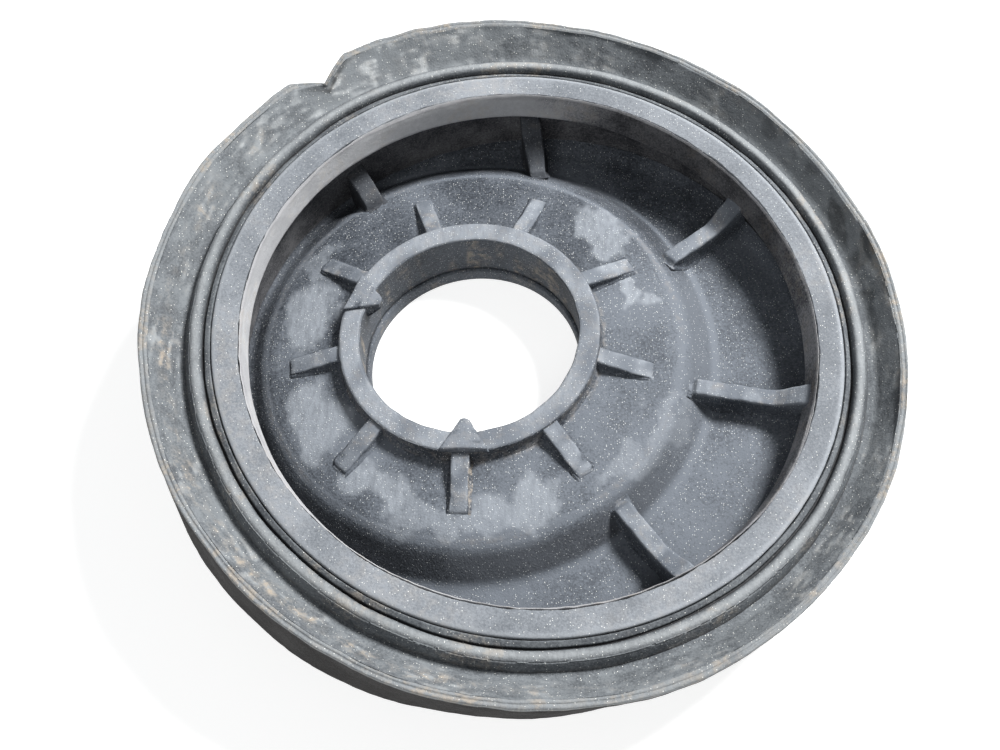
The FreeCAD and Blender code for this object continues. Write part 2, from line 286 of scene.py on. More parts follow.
    # matter where the bloom or the dust is thick
    matt = addNode(tree, "ShaderNodeMapRange", smooth, {
        "Value": (both, 0), "From Min": 0.8, "From Max": 1.5,
        "To Min": look["roughness"] - 0.08, "To Max": look["roughness"] + 0.1})
    film = addNode(tree, "ShaderNodeMath", product, {0: (settled, 0), 1: 0.2})
    matt = addNode(tree, "ShaderNodeMath", total, {0: (matt, 0), 1: (film, 0)})
    shader = addNode(tree, "ShaderNodeBsdfPrincipled", {}, {
        "Base Color": (colour, 2), "Roughness": (matt, 0), "Normal": (bump, 0),
        "Specular IOR Level": look["gloss"], "IOR": 1.52})
    addNode(tree, "ShaderNodeOutputMaterial", {}, {"Surface": (shader, 0)})
    return material


# Looks by region: colours, then pattern sizes in mm and strengths.
rimLook = {
    "base": "#3f4246", "bloom": "#6a6e71", "scuff": "#9a9d9e", "dust": "#958b7e", "deep": "#100d0d",
    "grain": "#d9d9d4", "mottle": 11.0, "cloudiness": 1.0, "strokeTurn": 25.0, "clot": 2.0,
    "grainStep": 0.55, "grainShare": 0.4, "relief": 0.55, "roughness": 0.74, "gloss": 0.18,
}
ringLook = dict(rimLook, base="#565a5f", bloom="#7c8085", scuff="#9a9ea2", dust="#a79c8d", mottle=14.0,
                cloudiness=0.9, grainStep=0.5, grainShare=0.35, relief=0.35, roughness=0.68)
dishLook = dict(rimLook, base="#292d33", bloom="#5f646b", scuff="#83888e", dust="#a89c8c", grain="#d8dad8",
                mottle=16.0, strokeTurn=-35.0, grainStep=0.48, grainShare=0.6, relief=0.5, roughness=0.72)
wallLook = dict(dishLook, base="#3c3d42", bloom="#959597", scuff="#adaeb0", mottle=9.0, grainShare=0.12,
                relief=0.35)

rimRubber = mouldedRubber("weatheredRimRubber", rimLook, rubberSizes)
ringRubber = mouldedRubber("wornRingRubber", ringLook, rubberSizes)
dishRubber = mouldedRubber("sandyDishRubber", dishLook, rubberSizes)
wallRubber = mouldedRubber("wallRubberWithPaintedLightAndShade", wallLook, rubberSizes)
print("rubber materials made")


# Outer lip and skirt

lip = {
    "steps": 1080,
    # outline radius at the lip's top by angle in degrees: a slack, uneven edge
    "outline": ((0, 82.0), (30, 82.2), (60, 82.9), (90, 83.8), (112, 85.0), (121, 85.1), (133, 84.7),
                (150, 84.3), (180, 83.7), (205, 83.5), (260, 83.4), (300, 82.9), (330, 82.4), (360, 82.0)),
    "dentAngle": 127.3, "dentSpan": 5.4, "dentDepth": 3.9,
    "skirtCentre": (10.2, -3.3), "skirtRadius": 82.4, "skirtLevel": 12.9, "skirtWall": 2.6,
    "unevenness": 0.14, "edgeUnevenness": 0.06,
    "lineRadius": 82.3, "lineDepth": 0.22, "lineWidth": 0.22,
}


def buildLip(s):
    angles = np.linspace(0, 2 * math.pi, s["steps"], endpoint=False)
    degrees = np.degrees(angles)
    knots, radii = np.array(s["outline"]).T
    outline = np.interp(degrees, knots, radii)
    kernel = np.exp(-np.linspace(-2.2, 2.2, 41) ** 2)
    joined = np.concatenate([outline[-20:], outline, outline[:20]])
    outline = np.convolve(joined, kernel / kernel.sum(), "valid")
    around = rimPlace(np.full(len(angles), 83.0), angles, np.zeros(len(angles)))
    dent = s["dentDepth"] * np.clip(1 - np.abs(degrees - s["dentAngle"]) / s["dentSpan"], 0, 1) ** 1.15
    sway = s["edgeUnevenness"] * waves(around, 8, 3) + 0.16 * waves(around, 32, 4)
    out = outline - 83.2 + 0.6 * sway
    lift = 0.5 * sway - 0.5 * dent + 0.25 * waves(around, 45, 5)
    # where the skirt's level foot lies about the rim's axis
    turn = np.linspace(-0.4, 2 * math.pi + 0.4, 1500)
    foot = np.stack([s["skirtCentre"][0] + s["skirtRadius"] * np.cos(turn),
                     s["skirtCentre"][1] + s["skirtRadius"] * np.sin(turn),
                     np.full(len(turn), s["skirtLevel"])], axis=-1)
    footRadius, footAngle, footHeight = rimRead(foot)
    footAngle = np.unwrap(footAngle)
    footRadius = np.interp(angles, footAngle, footRadius)
    footHeight = np.interp(angles, footAngle, footHeight)
    hang = ramp(-footHeight, 4.5, 9.5)
    ragged = 0.07 * waves(around, 9, 8) + 0.18 * waves(around, 32, 9)
    footRadius = hang * footRadius + (1 - hang) * 81.0
    footHeight = hang * footHeight + (1 - hang) * -7.0 + ragged
    innerRadius = hang * (footRadius - s["skirtWall"]) + (1 - hang) * 79.4
    innerHeight = hang * footHeight + (1 - hang) * -9.4
    roofRadius = hang * 80.2 + (1 - hang) * 79.3
    roofHeight = hang * -3.0 + (1 - hang) * -9.7
    radius, height, stage = roundedLoop([
        (75.0, -10.0, 0.0, 4),
        (75.0, -3.3, 0.0, 1),
        (76.5, -3.1, 1.1, 22),
        (80.9 + out * 0.9 - dent * 0.6, 1.9 + lift * 0.8, 0.8, 1),
        (81.6 + out - dent * 0.85, 2.75 + lift, 0.4, 8),
        (83.2 + out - dent, 2.85 + lift, 0.45, 3),
        (83.25 + out * 0.9 - dent * 0.8, 0.2 + lift * 0.6, 1.0, 12),
        (footRadius, footHeight, 0.5, 2),
        (innerRadius, innerHeight, 0.4, 8),
        (roofRadius, roofHeight, 0.4, 4),
        (79.2, -10.0, 0.4, 2),
    ], angles)
    # the radius that each point would have on an even lip without its dent
    evened = radius - out[:, None] + dent[:, None] * 0.9
    # a shallow line moulded round the lip's top
    onTop = (stage == 4)[None, :]
    height = height - s["lineDepth"] * onTop * np.exp(-((evened - s["lineRadius"]) / s["lineWidth"]) ** 2)
    angle = angles[:, None] + 0 * radius
    points = rimPlace(radius, angle, height)
    normal = gridNormals(points)
    swell = s["unevenness"] * 0.2 * waves(points, 6, 11) + s["unevenness"] * 0.6 * waves(points, 22, 12)
    points = points + normal * (swell + 0.012 * waves(points, 1.9, 13))[..., None]
    dark = np.broadcast_to((stage >= 6) | (stage < 1), radius.shape) * 1.0
    degree = np.degrees(angle)
    edge = np.broadcast_to((stage >= 4) & (stage < 6), radius.shape) * 1.0
    patch = ramp(waves(points, 26, 21) + 0.6 * waves(points, 9, 22), -0.2, 1.1)
    lines = 0.45 * streaks(radius, angle, 1.6, 90, 24)
    lines = lines + 0.6 * waves(points, 2.6, 25) + 0.5 * waves(points, 7, 27)
    slope = (1 - dark) * (1 - edge) * ramp(radius, 75.6, 76.6)
    left = np.exp(-((degree - 195) / 42) ** 2) + 0.8 * np.exp(-((degree - 250) / 30) ** 2)
    right = np.exp(-((np.mod(degree + 180, 360) - 180 - 22) / 30) ** 2)
    top = np.exp(-((degree - 118) / 24) ** 2)
    middle = np.exp(-((radius - 79.2) / 1.2) ** 2)
    outer = ramp(radius, 79.0, 81.0)
    streaky = ramp(lines, -0.4, 1.3)
    dust = slope * (patch * (0.15 + 0.9 * right * outer) + middle * left * (0.35 + 0.6 * patch))
    dust = dust * (0.3 + 0.9 * streaky) + edge * (0.2 + 0.5 * patch)
    rubbedAndPaintedLight = top * ramp(waves(points, 10, 23), -0.8, 0.9) + 0.5 * patch * ramp(lines, 0.2, 1.4)
    scuff = slope * streaky * rubbedAndPaintedLight + edge * 0.25
    bloom = slope * (0.25 + 0.5 * top + 0.45 * right + 0.16 * np.tanh(lines)) + edge * 0.4
    # the fold's own shadow line beside the dent
    crease = np.exp(-((evened - 81.0) / 0.45) ** 2) * np.exp(-((degree - 125.5) / 4.5) ** 2)
    stains = right * slope * ramp(waves(points, 7, 26), 0.5, 1.5)
    dark = np.clip(dark + 0.75 * crease * (1 - edge) + 0.45 * stains - 0.06 * slope * np.tanh(lines), 0, 1)
    grimy = np.exp(-((degree - 232) / 36) ** 2) * (stage >= 6)[None, :]
    masks = {"dust": np.clip(dust + 0.1 * grimy, 0, 1), "scuff": np.clip(scuff, 0, 1),
             "bloom": np.clip(bloom, 0, 1), "dark": dark}
    return points, masks


lipPoints, lipMasks = buildLip(lip)
meshPiece("outerLip", [(lipPoints, True, True, lipMasks)], rimRubber, ["lip_skirt"])


# Bead ring: the step, the groove, the rounded bead and its steep outer side

bead = {"steps": 1080, "unevenness": 0.06, "longUnevenness": 0.08}


def buildBead(s):
    angles = np.linspace(0, 2 * math.pi, s["steps"], endpoint=False)
    around = rimPlace(np.full(len(angles), 72.0), angles, np.zeros(len(angles)))
    slack = s["unevenness"] * waves(around, 16, 31) + s["longUnevenness"] * waves(around, 50, 32)
    radius, height, _ = roundedLoop([
        (68.3, -10.0, 0.0, 2),
        (75.4, -10.0, 0.0, 3),
        (75.2, -3.3, 0.5, 6),
        (74.2 + slack, -0.9, 0.8, 1),
        (73.3 + slack, 0.3, 0.8, 2),
        (71.7 + slack, 0.3, 0.5, 1),
        (71.3 + slack, -0.5, 0.25, 1),
        (71.15 + slack, -1.8, 0.15, 0),
        (70.75 + slack, -1.8, 0.15, 1),
        (70.6 + slack, -1.0, 0.2, 2),
        (69.55, -0.45, 0.25, 1),
        (69.3, -1.1, 0.15, 2),
        (69.25, -4.0, 0.0, 1),
        (68.3, -4.0, 0.0, 3),
    ], angles)
    angle = angles[:, None] + 0 * radius
    points = rimPlace(radius, angle, height)
    normal = gridNormals(points)
    points = points + normal * (0.02 * waves(points, 6, 33) + 0.008 * waves(points, 1.8, 34))[..., None]
    crown = np.exp(-((radius - 72.6) / 0.9) ** 2) * (height > -0.6)
    # painted shade: the narrow groove and the bead's outer side down into the channel are darkened
    groove = (height < -1.2) & (radius < 72)
    low = ramp(-height, 1.6, 3.2) * (radius > 73)
    patch = ramp(waves(points, 22, 35) + 0.5 * waves(points, 7, 36), 0.0, 1.3)
    masks = {"dust": 0.4 * patch * (1 - low) + 0.2 * low,
             "scuff": np.clip(crown * 0.5 + 0.2 * patch * crown, 0, 1),
             "bloom": 0.35 * crown,
             "dark": np.clip(0.75 * groove + 0.3 * low, 0, 1)}
    return points, masks


beadPoints, beadMasks = buildBead(bead)
meshPiece("beadRing", [(beadPoints, True, True, beadMasks)], rimRubber, ["bead_ring"])


# Flat ring: worn smooth, with a ragged parting line along its inner edge

ring = {"steps": 1440, "raggedness": 0.11}


def buildRing(s):
    angles = np.linspace(0, 2 * math.pi, s["steps"], endpoint=False)
    around = rimPlace(np.full(len(angles), 63.5), angles, np.zeros(len(angles)))
    ragged = s["raggedness"] * (waves(around, 6.5, 41) * 0.6 + waves(around, 1.6, 42) * 0.2)
    radius, height, _ = roundedLoop([
        (63.5, -4.0, 0.0, 2),
        (63.5 + ragged, -0.3, 0.1, 0),
        (63.62 + ragged, -0.02, 0.1, 9),
        (68.4, 0.06, 0.5, 1),
        (69.15, -0.35, 0.3, 2),
        (69.2, -4.0, 0.0, 3),
    ], angles)
    angle = angles[:, None] + 0 * radius
    points = rimPlace(radius, angle, height)
    normal = gridNormals(points)
    points = points + normal * (0.02 * waves(points, 9, 43) + 0.004 * waves(points, 2.2, 44))[..., None]
    patch = ramp(waves(points, 30, 45), -0.3, 1.2)
    edge = np.exp(-((radius - 68.7) / 0.5) ** 2)
    return points, {"bloom": 0.3 * patch + 0.5 * edge, "dust": 0.14 * patch, "scuff": 0.35 * edge}


ringPoints, ringMasks = buildRing(ring)
meshPiece("flatRing", [(ringPoints, True, True, ringMasks)], ringRubber, ["flat_ring"])


# Bowl wall: the thin mouth strip, the upright band below it and the undercut wall

wall = {"steps": 1080, "inner": 65.5, "outer": 68.3}


def groundHeight(radius, angles):
    # Height along the rim's axis at which this radius reaches the resting plane.
    rise = rimTurn[2, 0] * np.cos(angles) + rimTurn[2, 1] * np.sin(angles)
    return (-rimCentre[2] - rise * radius) / rimTurn[2, 2]


def buildWall(s):
    angles = np.linspace(0, 2 * math.pi, s["steps"], endpoint=False)
    around = rimPlace(np.full(len(angles), 63.0), angles, np.zeros(len(angles)))
    ragged = 0.06 * waves(around, 4.0, 51) + 0.1 * waves(around, 40, 52)
    radius, height, _ = roundedLoop([
        (63.5, -4.0, 0.0, 2),
        (63.42 + ragged, -0.3, 0.1, 0),
        (63.3 + ragged, -0.03, 0.12, 1),
        (62.95 + ragged * 0.5, -0.7, 0.4, 2),
        (62.7, -2.0, 0.6, 7),
        (62.0, -7.0, 0.7, 1),
        (63.9, -7.9, 0.9, 2),
        (s["inner"], -9.6, 1.1, 12),
        (s["inner"], groundHeight(s["inner"], angles) + 0.3, 0.0, 1),
        (66.0, groundHeight(66.0, angles), 0.0, 1),
        (67.8, groundHeight(67.8, angles), 0.0, 1),
        (s["outer"], groundHeight(s["outer"], angles) + 0.4, 0.0, 8),
        (s["outer"], -4.0, 0.0, 2),
    ], angles)
    angle = angles[:, None] + 0 * radius
    points = rimPlace(radius, angle, height)
    normal = gridNormals(points)
    inside = (radius < s["inner"] + 0.1) & (height < -0.6)
    swell = 0.04 * waves(points, 14, 53) + 0.008 * waves(points, 2.5, 54)
    points = points + normal * (inside * swell)[..., None]
    points[..., 2] = np.maximum(points[..., 2], 0.0)
    strip = (height > -0.7) & (radius < 63.45)
    band = ramp(height, -7.6, -6.2) * (radius < 63.45)
    patch = ramp(waves(points, 14, 55) + 0.5 * waves(points, 5, 56), -0.9, 0.9)
    # painted shade in the undercut below the band
    deep = ramp(-height, 7.4, 9.0)
    degree = np.degrees(angle)
    # painted highlight: the band is paler from the top round to the left; painted shade darkens it on the
    # upper right
    rubbedAndPaintedLight = ramp(degree, 72, 96) * (1 - ramp(degree, 270, 300))
    paintedShadeUpperRight = ramp(degree, 8, 30) * (1 - ramp(degree, 66, 84))
    underStrip = ramp(-height, 0.5, 2.0)
    paintedBandHighlight = band * rubbedAndPaintedLight * np.exp(-((degree - 112) / 22) ** 2) * underStrip
    scuff = 0.1 * strip + paintedBandHighlight + band * rubbedAndPaintedLight * (0.55 + 0.45 * patch) * underStrip
    masks = {"bloom": np.clip(0.35 * strip + band * rubbedAndPaintedLight * (0.7 + 0.3 * patch), 0, 1),
             "scuff": np.clip(scuff, 0, 1),
             "dust": 0.25 * patch * band,
             "dark": np.clip(0.5 * deep + 0.6 * paintedShadeUpperRight * band * (1 - strip), 0, 1)}
    return points, masks


wallPoints, wallMasks = buildWall(wall)
meshPiece("bowlWall", [(wallPoints, True, True, wallMasks)], wallRubber, ["bowl_wall"])


# Dome and floor: one sheet from the collar's foot over the dome and down to the floor and the wall

dome = {
    "steps": 900, "rings": 150, "inner": 29.2,
    "upper": ((28.0, 13.9, 0.0), (30.6, 13.45, 0.6), (48.4, 11.9, 3.2), (56.4, 4.3, 1.5), (95.0, 4.3, 0.0)),
    "lower": ((28.0, 10.9, 0.0), (45.0, 9.1, 2.0), (53.5, 1.5, 2.0), (95.0, 1.5, 0.0)),
    "wallFillet": 3.4,
    # dry rubbed patches: angle and radius about the neck, half spans in degrees and mm, strength
    "scuffs": ((168, 39.0, 18, 8.0, 0.85), (208, 39.5, 17, 8.0, 0.85), (148, 44.0, 10, 4.0, 0.5),
               (44, 43.0, 13, 5.5, 0.8), (16, 39.0, 8, 3.2, 1.0), (244, 41.0, 13, 6.5, 0.9),
               (286, 42.0, 18, 5.0, 0.85), (262, 45.0, 24, 3.6, 0.6), (318, 46.0, 12, 3.5, 0.55),
               (335, 49.0, 14, 3.5, 0.4)),
}


def softLine(corners, spots):
    # Height along a rounded line of (across, up, rounding) corners.
    radius, height, _ = roundedLoop([(c[0], c[1], c[2], 12) for c in corners], np.zeros(1), closed=False)
    order = np.argsort(radius[0])
    return np.interp(spots, radius[0][order], height[0][order])


def wallGap(x, y):
    # How far inside the bowl's wall a point of the floor lies.
    return dish["wallRadius"] - np.hypot(x - dish["wallCentre"][0], y - dish["wallCentre"][1])


def floorHeight(x, y):
    fillet = dome["wallFillet"]
    near = np.clip(fillet - wallGap(x, y), 0, fillet)
    return softLine(dome["upper"], np.hypot(x, y)) + fillet - np.sqrt(fillet ** 2 - near ** 2)


def wallReach(angles):
    # Distance from the neck's axis to the wall along each angle.
    cx, cy = dish["wallCentre"]
    along = cx * np.cos(angles) + cy * np.sin(angles)
    return along + np.sqrt(along ** 2 - cx ** 2 - cy ** 2 + dish["wallRadius"] ** 2)


def scuffMask(points, spots):
    # Patches with ragged edges, placed about the neck.
    x, y = points[..., 0], points[..., 1]
    warpA = 2.0 * waves(points, 12, 61) + 0.5 * waves(points, 3, 62)
    warpB = 1.4 * waves(points, 10, 63) + 0.45 * waves(points, 2.5, 64)
    radius = np.hypot(x, y) + warpB
    angle = np.degrees(np.arctan2(y, x)) + warpA * 57.3 / np.maximum(radius, 20)
    total = np.zeros(x.shape)
    for heading, spot, spanAngle, spanRadius, strength in spots:
        turn = (angle - heading + 180) % 360 - 180
        away = np.sqrt((turn / spanAngle) ** 2 + ((radius - spot) / spanRadius) ** 2)
        total = np.maximum(total, strength * (1 - ramp(away, 0.6, 1.08)))
    return total


def buildDome(s):
    angles = np.linspace(0, 2 * math.pi, s["steps"], endpoint=False)
    part = np.linspace(0, 1, s["rings"])
    reach = wallReach(angles) + 0.15
    radius = s["inner"] + (reach[:, None] - s["inner"]) * part[None, :]
    x, y = radius * np.cos(angles)[:, None], radius * np.sin(angles)[:, None]
    upper = np.stack([x, y, floorHeight(x, y)], axis=-1)
    upper[..., 2] += 0.07 * waves(upper, 19, 65) + 0.02 * waves(upper, 6, 66) + 0.008 * waves(upper, 1.9, 67)
    lower = np.stack([x, y, softLine(s["lower"], radius)], axis=-1)[:, ::-1]
    points = np.concatenate([upper, lower], axis=1)
    top = np.concatenate([np.ones(upper.shape[:2]), np.zeros(lower.shape[:2])], axis=1)
    x, y = points[..., 0], points[..., 1]
    spot = np.hypot(x, y)
    degree = np.degrees(np.arctan2(y, x))
    scuff = scuffMask(points, s["scuffs"]) * top * (spot < 55)
    crest = np.exp(-((spot - 48.3) / 0.7) ** 2)
    crease = np.exp(-((spot - 56.3) / 0.7) ** 2)
    flank = ramp(spot, 49, 51.5) * (1 - ramp(spot, 54.5, 56))
    southward = ramp(-y / np.maximum(spot, 1), 0.3, 0.9)
    patch = ramp(waves(points, 24, 68), -0.6, 1.2)
    # bloom with painted highlight on the crest and crease lines; the top is also paler towards the lower
    # right
    bloom = top * (0.75 * crest + 0.9 * crease + (0.25 + 0.25 * patch) * ramp(-y + 0.5 * x, -18, 12))
    collarFoot = np.exp(-((spot - 30.8) / 0.5) ** 2) * (np.cos(np.radians(degree + 20)) > 0)
    dust = top * (0.16 * crest * patch + 0.25 * collarFoot)
    # painted shade: darker down the flank, most on the south side, and near the wall's foot
    paintedShade = top * (0.2 * flank + 0.3 * flank * southward + 0.1 * ramp(wallGap(x, y), 12, 4))
    masks = {"bloom": np.clip(bloom, 0, 1), "scuff": scuff, "dust": dust, "dark": 0.6 * (1 - top) + paintedShade}
    return points, masks


domePoints, domeMasks = buildDome(dome)
meshPiece("domeFloor", [(domePoints, True, True, domeMasks)], dishRubber, ["dome_floor"])


# Neck: the collar with its bore, and the thin lip at the far end of the bore

neck = {"steps": 720, "top": 17.5, "outer": 30.0, "bore": 24.9}


def turnedRound(corners, angles):
    radius, height, _ = roundedLoop(corners, angles)
    angle = angles[:, None] + 0 * radius
    points = np.stack([radius * np.cos(angle), radius * np.sin(angle), height], axis=-1)
    return points, radius, height, angle


def buildNeck(s):
    angles = np.linspace(0, 2 * math.pi, s["steps"], endpoint=False)
    around = np.stack([25 * np.cos(angles), 25 * np.sin(angles), 0 * angles], axis=-1)
    chafe = 0.12 * waves(around, 6, 71) + 0.1 * waves(around, 25, 72)
    collar, radius, height, angle = turnedRound([
        (25.75, 4.2, 0.0, 8),
        (25.2, 15.4, 0.6, 2),
        (25.0 - 0.4 * chafe, 17.2, 0.35, 0),
        (25.5 - 0.4 * chafe, s["top"], 0.3, 5),
        (29.55, s["top"], 0.4, 1),
        (s["outer"], 16.9, 0.4, 3),
        (30.05, 14.6, 0.5, 2),
        (30.8, 13.2, 0.0, 1),
        (s["outer"], 10.7, 0.0, 1),
        (28.2, 10.7, 0.0, 3),
        (28.2, 4.2, 0.0, 2),
    ], angles)
    normal = gridNormals(collar)
    collar = collar + normal * (0.025 * waves(collar, 6, 73) + 0.008 * waves(collar, 1.7, 74))[..., None]
    inside = (radius < 26.2) & (height < 17.0)
    streaks = ramp(waves(collar * np.array([1, 1, 0.15]), 3.2, 75) + 0.4 * waves(collar, 8, 76), -0.3, 1.4)
    topFace = (height > 17.2) & (radius > 25.0)
    side = (radius > 29.8) & (height < 17.0) & (height > 12)
    masks = {
        "dust": np.clip(0.55 * inside * streaks + 0.1 * topFace + 0.2 * side, 0, 1),
        "scuff": np.clip(0.85 * topFace * ramp(waves(collar, 9, 77), -1.6, 0.6), 0, 1),
        "bloom": np.clip(1.0 * topFace + 0.1 * inside, 0, 1),
        "dark": np.clip(0.25 * inside + 0.5 * (height < 12) * (radius > 27), 0, 1),
    }
    lipRing, lipRadius, _, _ = turnedRound([
        (24.95, 0.35, 0.3, 4),
        (s["bore"], 3.8, 0.3, 1),
        (25.4, 4.15, 0.2, 3),
        (28.2, 4.2, 0.0, 3),
        (28.2, 0.3, 0.3, 2),
        (27.8, 0.0, 0.0, 3),
        (25.3, 0.0, 0.3, 0),
    ], angles)
    inBore = lipRadius < 25.5
    lipDust = 0.3 * inBore * ramp(waves(lipRing, 7, 78), -0.2, 1.2)
    lipMasks = {"bloom": 0.3 * inBore, "dust": lipDust, "dark": 0.2}
    return collar, masks, lipRing, lipMasks


collarPoints, collarMasks, boreLipPoints, boreLipMasks = buildNeck(neck)
meshPiece("neckCollar", [(collarPoints, True, True, collarMasks)], dishRubber, ["neck_collar"])
meshPiece("neckLip", [(boreLipPoints, True, True, boreLipMasks)], dishRubber, ["neck_lip"])


# Ribs and pips: low walls with rounded tops and a small fillet at the foot

ribs = {"halfWidth": 2.05, "flare": 0.75, "count": 9, "phase": -53.0, "step": 40.0,
        "start": 29.4, "end": 41.6, "topStart": 16.75, "topEnd": 13.25, "sandyRib": 8}
longOnes = {
    "level": 10.9, "fall": 0.03, "rampRadius": 54.8, "rampSlope": 0.72, "halfWidth": 2.0,
    # turn about the neck and heading of each
    "places": ((-50.5, -54.0), (-14.0, -11.5), (23.5, 36.5), (67.8, 97.0), (121.0, 124.0)),
    "paintedShade": (0.0, 0.0, 0.0, 0.55, 0.6),  # painted shade on the two under the high side of the mouth
}
pips = {"headings": (157.0, 268.5), "halfBase": 5.2, "halfTip": 0.9, "outer": 29.5, "tip": 22.1,
        "rise": 0.95, "depth": 3.4}


def lowWall(line, across, tops, bases, halfWidths, flare, seed):
    # A strip over stations along a line: foot fillet, upright side, rounded top, and the far side the same.
    # shape: how far in from the side, then the share of the flare or of the full height that it has climbed.
    shape = ((-1.0, -1.0, 0.0), (-1.0, 0.0, 0.0), (-0.42, 0.28, 0.0), (-0.1, 0.7, 0.0), (0.0, 0.0, 0.42),
             (0.0, 0.0, 0.72), (0.14, 0.0, 0.93), (0.42, 0.0, 1.0), (0.9, 0.0, 1.0))
    rows = []
    for spot, top, base, half in zip(line, tops, bases, halfWidths):
        tall = max(top - base, 0.02)
        section = []
        for out, lift, share in shape:
            width = half - out * flare if out < 0 else half - out * min(half, 1.0) * 0.9
            rise = lift * min(flare, tall) if share == 0 else tall * share
            if share > 0.5:
                rise = max(tall - (1 - share) * 3.0, rise)
            section.append((width, base + rise))
        crest = (0.0, section[-1][1] + 0.03)
        full = [(-w, z) for w, z in section] + [crest] + section[::-1]
        rows.append([(spot[0] + across[0] * u, spot[1] + across[1] * u, z) for u, z in full])
    points = np.array(rows)
    points = points + np.stack([0.05 * waves(points, 4, seed), 0.05 * waves(points, 4, seed + 1),
                                0.06 * waves(points, 3, seed + 2)], axis=-1)
    level = (points[..., 2] - points[..., 2].min(axis=1, keepdims=True))
    crownMask = ramp(level / np.maximum(level.max(axis=1, keepdims=True), 0.1), 0.86, 0.98)
    return points, crownMask


def buildShortRibs(s):
    grids = []
    for index in range(s["count"]):
        heading = math.radians(s["phase"] + s["step"] * index)
        along = np.array([math.cos(heading), math.sin(heading)])
        across = (-along[1], along[0])
        length = s["end"] - s["start"]
        parts = np.concatenate([np.linspace(0, 1, 22), 1 + np.array([0.35, 0.6, 0.8, 1.0, 1.15]) / length])
        spots = s["start"] + parts * length
        line = spots[:, None] * along
        bases = softLine(dome["upper"], spots)
        tops = s["topStart"] + (s["topEnd"] - s["topStart"]) * np.clip(parts, 0, 1)
        drop = np.clip((parts - 1) * length / 1.0, 0, 1)
        tops = tops * (1 - drop ** 1.6) + (bases - 0.3) * drop ** 1.6
        halves = s["halfWidth"] * (1 - 0.12 * drop) * np.ones(len(spots))
        points, crown = lowWall(line, across, tops, bases, halves, s["flare"], 80 + 3 * index)
        # painted light: rib tops that face the key light get more pale bloom and scuff
        lit = 0.75 + 0.25 * math.cos(heading - 0.6)
        sandy = (index == s["sandyRib"]) * 0.7 * (1 - crown) * (points[..., 0] > 0)
        grids.append((points, False, False, {
            "bloom": crown * 0.9 * lit,
            "scuff": crown * 0.95 * ramp(waves(points, 6, 90), -1.2, 0.8) * lit,
            "dust": 0.25 * crown * ramp(waves(points, 5, 91), 0, 1.2) + sandy}))
    return grids


def buildLongRibs(s):
    grids = []
    for index, (turn, heading) in enumerate(s["places"]):
        turn, heading = math.radians(turn), math.radians(heading)
        start = 45.0 * np.array([math.cos(turn), math.sin(turn)])
        along = np.array([math.cos(heading), math.sin(heading)])
        across = (-along[1], along[0])
        steps = np.linspace(0, 40, 160)
        line = start + steps[:, None] * along
        keep = wallGap(line[:, 0], line[:, 1]) > 0.4
        line, steps = line[keep], steps[keep]
        bases = floorHeight(line[:, 0], line[:, 1])
        fromRim = np.hypot(line[:, 0] - rim["centre"][0], line[:, 1] - rim["centre"][1])
        climb = s["rampSlope"] * (fromRim - s["rampRadius"])
        climb = 0.5 * (climb + np.sqrt(climb ** 2 + 0.5))
        tops = s["level"] - s["fall"] * steps + climb - 0.3
        proud = np.argmax(tops > bases + 0.4)  # the rib leaves the dome here
        line, bases, tops, climb = line[proud:], bases[proud:], tops[proud:], climb[proud:]
        rise = ramp(np.linspace(0, len(tops) * 0.25, len(tops)), 0.0, 2.2)
        tops = bases - 0.35 + (tops - bases + 0.35) * rise
        halves = s["halfWidth"] + 0.12 * np.clip(climb, 0, 4)
        points, crown = lowWall(line, across, tops, bases, halves, 0.8, 120 + 3 * index)
        rising = ramp(points[..., 2], 11.2, 12.2) * crown
        # painted shade: the ribs listed there are darkened and lose most of their pale top
        paintedShade = s["paintedShade"][index]
        grids.append((points, False, False, {
            "bloom": (crown * 0.8 - rising * 0.2) * (1 - paintedShade),
            "scuff": crown * 0.6 * ramp(waves(points, 7, 95), -0.8, 1.0) * (1 - paintedShade),
            "dust": 0.2 * crown * ramp(waves(points, 5, 96), 0, 1.2), "dark": paintedShade}))
    return grids


def buildPips(s):
    grids = []
    for index, heading in enumerate(s["headings"]):
        heading = math.radians(heading)
        along = np.array([math.cos(heading), math.sin(heading)])
        across = (-along[1], along[0])
        blunted = s["tip"] + np.array([0.22, 0.1, 0.0])
        spots = np.concatenate([np.linspace(s["outer"] + 0.25, s["tip"] + 0.4, 34), blunted])
        part = np.clip((s["outer"] - spots) / (s["outer"] - s["tip"]), 0, 1)
        halves = s["halfBase"] + (s["halfTip"] - s["halfBase"]) * part
        halves[-3:] *= (0.85, 0.62, 0.3)
        hanging = neck["top"] - s["depth"] + (25.0 - spots) / 2.9 * 2.6
        bases = np.where(spots > 25.0, neck["top"] - 0.25, hanging)
        tops = neck["top"] + s["rise"] - 0.25 * part
        tops[0] = neck["top"] - 0.1
        tops[1] = neck["top"] + 0.6 * s["rise"]
        tops[-2:] -= (0.15, 0.5)
        line = spots[:, None] * along
        points, crown = lowWall(line, across, tops, bases, halves, 0.3, 150 + 3 * index)
        sideways = np.abs(points[..., 0] * across[0] + points[..., 1] * across[1])
        middle = sideways / np.maximum(halves[:, None], 0.5)
        points[..., 2] += crown * 0.22 * (1 - np.clip(middle * 1.4, 0, 1))
        masks = {"bloom": 0.6 * crown, "scuff": 0.35 * crown, "dust": 0.1 * crown}
        grids.append((points, False, False, masks))
    return grids


meshPiece("shortRibs", buildShortRibs(ribs), dishRubber, ["short_ribs"])
meshPiece("longRibs", buildLongRibs(longOnes), dishRubber, ["long_ribs"])
meshPiece("pointerPips", buildPips(pips), dishRubber, ["pointer_pips"])


# Steel hoop: rolled strip, sealed in the rubber

